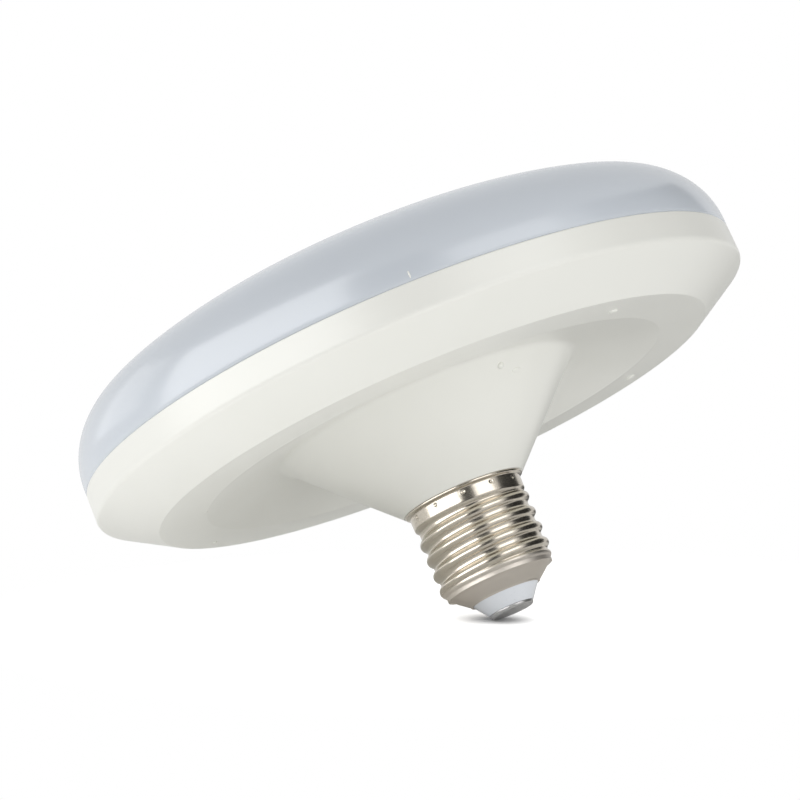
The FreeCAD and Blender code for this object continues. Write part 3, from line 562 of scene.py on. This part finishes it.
def dome_line(inset, steps):
    """Dome from foot to crown in three tangent arcs, the given distance inside, in mm.

    The wall's and the shoulder's arc are each (radius, turn in degrees); the crown's arc is
    centred on the axis.
    """
    line = []
    place = Vector((FOOT_RADIUS, SEAM_HEIGHT))
    heading = math.radians(90 - WALL_LEAN)
    for radius, turn in (WALL_ARC, SHOULDER_ARC):
        centre = place + radius * Vector((-math.sin(heading), math.cos(heading)))
        for step in range(steps):
            angle = heading + math.radians(turn) * step / steps
            line.append(centre + (radius - inset) * Vector((math.sin(angle), -math.cos(angle))))
        heading += math.radians(turn)
        place = centre + radius * Vector((math.sin(heading), -math.cos(heading)))
    radius = place.x / math.sin(heading)
    centre = Vector((0, place.y + radius * math.cos(heading)))
    for step in range(steps + 1):
        angle = heading + (math.pi - heading) * step / steps
        line.append(centre + (radius - inset) * Vector((math.sin(angle), -math.cos(angle))))
    line[-1].x = 0
    return line


outer = dome_line(0, 28)
inner = dome_line(DIFFUSER_WALL, 16)
skirt = [Vector(point) for point in (
    (SKIRT_RADII[0], 58.2), (SKIRT_RADII[0], SKIRT_FOOT), (SKIRT_RADII[1] - 0.1, SKIRT_FOOT),
    (SKIRT_RADII[1], SKIRT_FOOT + 0.2), (SKIRT_RADII[1], SEAM_HEIGHT))]
edge = [Vector((FOOT_RADIUS - 0.2, SEAM_HEIGHT)), Vector((FOOT_RADIUS - 0.06, SEAM_HEIGHT + 0.06))]
diffuser = turned("opal_diffuser", edge + outer[1:] + inner[:0:-1] + skirt)

# Opal polycarbonate: bluish grey when unlit, because much of the light goes in and is lost
# behind it. The surface is glossy, over a milky body with the faintest flow marks
tree, place, opal_polycarbonate = new_finish("opal_polycarbonate")
milk = noise(tree, (place, "Object"), 35, 2.0)
peel = noise(tree, (place, "Object"), 1.4, 1.0)
tone = blend(tree, (milk, "Fac"), "D4DAE1", "CED4DB")
gloss = between(tree, (milk, "Fac"), 0.17, 0.21)
orange = relief(tree, (peel, "Fac"), 0.08, 0.02)
opal = add_node(tree, "ShaderNodeBsdfPrincipled", {
    "Base Color": (tone, "Result"), "Roughness": (gloss, "Result"), "Normal": (orange, "Normal"),
    "IOR": 1.585, "Subsurface Weight": 0.15, "Subsurface Radius": (1.0, 1.0, 1.1),
    "Subsurface Scale": 1.5 * MM})
finish_off(tree, opal)
stand_for(diffuser, "diffuser", opal_polycarbonate)


# Camera: level with the table and a long way off, as the photograph was taken. The lamp
# leans in its view, rolled 23 degrees and with its cap 12 degrees towards the lens.

CAMERA_PLACE = Vector((-4.645, -670.32, -88.95)) * MM

camera_right = Vector((0.92066, 0.08061, -0.38196)).normalized()
camera_ahead = Vector((0.0, 0.97845, 0.20649)).normalized()
camera_up = camera_right.cross(camera_ahead)
camera = bpy.data.objects.new("camera", bpy.data.cameras.new("camera"))
camera.data.lens = 141.09
camera.data.sensor_width = 36.0
camera.data.clip_end = 10.0
turn = Matrix((camera_right, camera_up, -camera_ahead)).transposed().to_4x4()
camera.matrix_world = Matrix.Translation(CAMERA_PLACE) @ turn
bpy.context.scene.collection.objects.link(camera)
bpy.context.scene.camera = camera
bpy.context.scene.view_settings.view_transform = "Standard"


# Studio: a small pale table top that touches the contact's rim and is level in the
# photograph's view, a white surround, soft lamps, and cards that only reflections see.

TABLE_RADIUS = 120
TABLE_LEAN = math.radians(5)
MIDDLE = Vector((0, 0, 50)) * MM
LAMP_DISTANCE = 0.9
LAMP_SIZE = 0.6
CARD_DISTANCE = 0.8
CARD_STEPS = (24, 8)

table_normal = (camera_up * math.cos(TABLE_LEAN) - camera_ahead * math.sin(TABLE_LEAN)).normalized()
flat = Vector((table_normal.x, table_normal.y, 0)).normalized()
rim_middle = Vector((0, 0, CONTACT_ROUND)) - flat * (CONTACT_RADIUS - CONTACT_ROUND)
touch = (rim_middle - table_normal * CONTACT_ROUND) * MM
mesh = bmesh.new()
bmesh.ops.create_circle(mesh, cap_ends=True, segments=96, radius=TABLE_RADIUS * MM)
table = smooth_object("table_top", mesh)
table.matrix_world = Matrix.Translation(touch) @ table_normal.to_track_quat("Z", "Y").to_matrix().to_4x4()
table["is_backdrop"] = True

# White card: white paper lifted to white by a glow that only the camera sees. Near the contact's touch
# the glow fades out, so the paper there is darker: a painted contact shadow over the real shadow the paper
# catches. It fades out at its rim, and from behind it is clear
tree, place, white_card = new_finish("white_card")
rays = add_node(tree, "ShaderNodeLightPath")
facing = add_node(tree, "ShaderNodeNewGeometry")
fibre = noise(tree, (place, "Object"), 2, 3.0)
tone = blend(tree, (fibre, "Fac"), "F4F4F4", "F1F1F1")
paper = add_node(tree, "ShaderNodeBsdfDiffuse", {"Color": (tone, "Result")})
away = add_node(tree, "ShaderNodeVectorMath", {0: (place, "Object")}, operation="LENGTH")
# Painted contact shadow: the camera's glow is left out within 1.5 mm of the touch point and fades back in by
# 10.5 mm
painted_shadow_fade = add_node(tree, "ShaderNodeMapRange", {
    "Value": (away, "Value"), "From Min": 1.5 * MM, "From Max": 10.5 * MM, "To Min": 0.0, "To Max": 0.75},
                 interpolation_type="SMOOTHSTEP")
lift = add_node(tree, "ShaderNodeMath", {0: (rays, "Is Camera Ray"), 1: (painted_shadow_fade, "Result")},
                operation="MULTIPLY")
glow = add_node(tree, "ShaderNodeEmission", {"Color": (1, 1, 1, 1), "Strength": (lift, "Value")})
bright = add_node(tree, "ShaderNodeAddShader", {0: (paper, "BSDF"), 1: (glow, "Emission")})
rim = add_node(tree, "ShaderNodeMapRange", {
    "Value": (away, "Value"), "From Min": TABLE_RADIUS / 2 * MM, "From Max": (TABLE_RADIUS - 5) * MM})
clear = add_node(tree, "ShaderNodeMath", {0: (rim, "Result"), 1: (facing, "Backfacing")}, operation="MAXIMUM")
open_air = add_node(tree, "ShaderNodeBsdfTransparent")
card = add_node(tree, "ShaderNodeMixShader", {
    0: (clear, "Value"), 1: (bright, "Shader"), 2: (open_air, "BSDF")})
finish_off(tree, card, "Shader")
table.data.materials.append(white_card)

# White surround: white to the camera, a little darker in reflections, and half as bright
# where it lights the object
world = bpy.data.worlds.new("white_surround")
bpy.context.scene.world = world
world.use_nodes = True
world.node_tree.nodes.clear()
tree = world.node_tree
rays = add_node(tree, "ShaderNodeLightPath")
seen = add_node(tree, "ShaderNodeMath", {0: (rays, "Is Camera Ray"), 1: (rays, "Is Transmission Ray")},
                operation="MAXIMUM")
mirrored = add_node(tree, "ShaderNodeMath", {0: (rays, "Is Glossy Ray"), 1: 0.8}, operation="MULTIPLY")
shown = add_node(tree, "ShaderNodeMath", {0: (seen, "Value"), 1: (mirrored, "Value")}, operation="MAXIMUM")
level = add_node(tree, "ShaderNodeMath", {0: (shown, "Value"), 1: 0.5}, operation="MAXIMUM")
surround = add_node(tree, "ShaderNodeBackground", {"Color": (1, 1, 1, 1), "Strength": (level, "Value")})
add_node(tree, "ShaderNodeOutputWorld", {"Surface": (surround, "Background")})


def towards(azimuth, elevation):
    """Unit vector from the lamp at an angle from +X and a height over the seam's plane."""
    turn, lift = math.radians(azimuth), math.radians(elevation)
    return Vector((math.cos(turn) * math.cos(lift), math.sin(turn) * math.cos(lift), math.sin(lift)))


def soft_lamp(name, azimuth, elevation, watts):
    """Square lamp that faces the middle of the object and that reflections don't see."""
    lamp = bpy.data.objects.new(name, bpy.data.lights.new(name, "AREA"))
    lamp.data.shape = "RECTANGLE"
    lamp.data.size = LAMP_SIZE
    lamp.data.size_y = LAMP_SIZE
    lamp.data.energy = watts
    lamp.visible_glossy = False
    away = towards(azimuth, elevation)
    facing = away.to_track_quat("Z", "Y").to_matrix().to_4x4()
    lamp.matrix_world = Matrix.Translation(MIDDLE + away * LAMP_DISTANCE) @ facing
    bpy.context.scene.collection.objects.link(lamp)


soft_lamp("key_lamp", -150, 50, 1.5)
soft_lamp("front_lamp", -90, -10, 1.4)
soft_lamp("left_lamp", 180, -10, 1.8)
soft_lamp("low_left_lamp", -178, -40, 2.2)
soft_lamp("low_right_lamp", -45, -42, 2.2)
soft_lamp("right_lamp", 0, -10, 0.6)
soft_lamp("back_lamp", 90, 50, 4.0)


def glow_card(name, azimuths, elevations, strength):
    """Curved card that only reflections see; one of a strength near 0 is black."""
    across, up = CARD_STEPS
    mesh = bmesh.new()
    rows = []
    for row in range(up + 1):
        elevation = elevations[0] + (elevations[1] - elevations[0]) * row / up
        line = []
        for step in range(across + 1):
            azimuth = azimuths[0] + (azimuths[1] - azimuths[0]) * step / across
            line.append(mesh.verts.new(MIDDLE + towards(azimuth, elevation) * CARD_DISTANCE))
        rows.append(line)
    for low, high in zip(rows, rows[1:]):
        for step in range(across):
            mesh.faces.new((low[step], low[step + 1], high[step + 1], high[step]))
    piece = smooth_object(name, mesh)
    tree, _, cloth = new_finish(name + "_cloth")
    glow = add_node(tree, "ShaderNodeEmission", {"Color": (1, 1, 1, 1), "Strength": strength})
    finish_off(tree, glow, "Emission")
    piece.data.materials.append(cloth)
    piece.visible_camera = False
    piece.visible_diffuse = False
    piece.visible_transmission = False
    piece.visible_shadow = False
    piece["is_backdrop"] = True


glow_card("left_softbox", (-170, -98), (3, 44), 3.6)
glow_card("far_window", (142, 176), (20, 46), 1.6)
glow_card("right_softbox", (-66, -28), (-10, 24), 2.2)
glow_card("camera_gap", (-99, -70), (-30, 34), 0.04)
glow_card("black_flag", (-16, 44), (-34, 26), 0.03)
glow_card("dark_room", (60, 125), (-24, 2), 0.1)


# Bounds of the dressed model, with the backdrop pieces left out.

low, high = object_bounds()
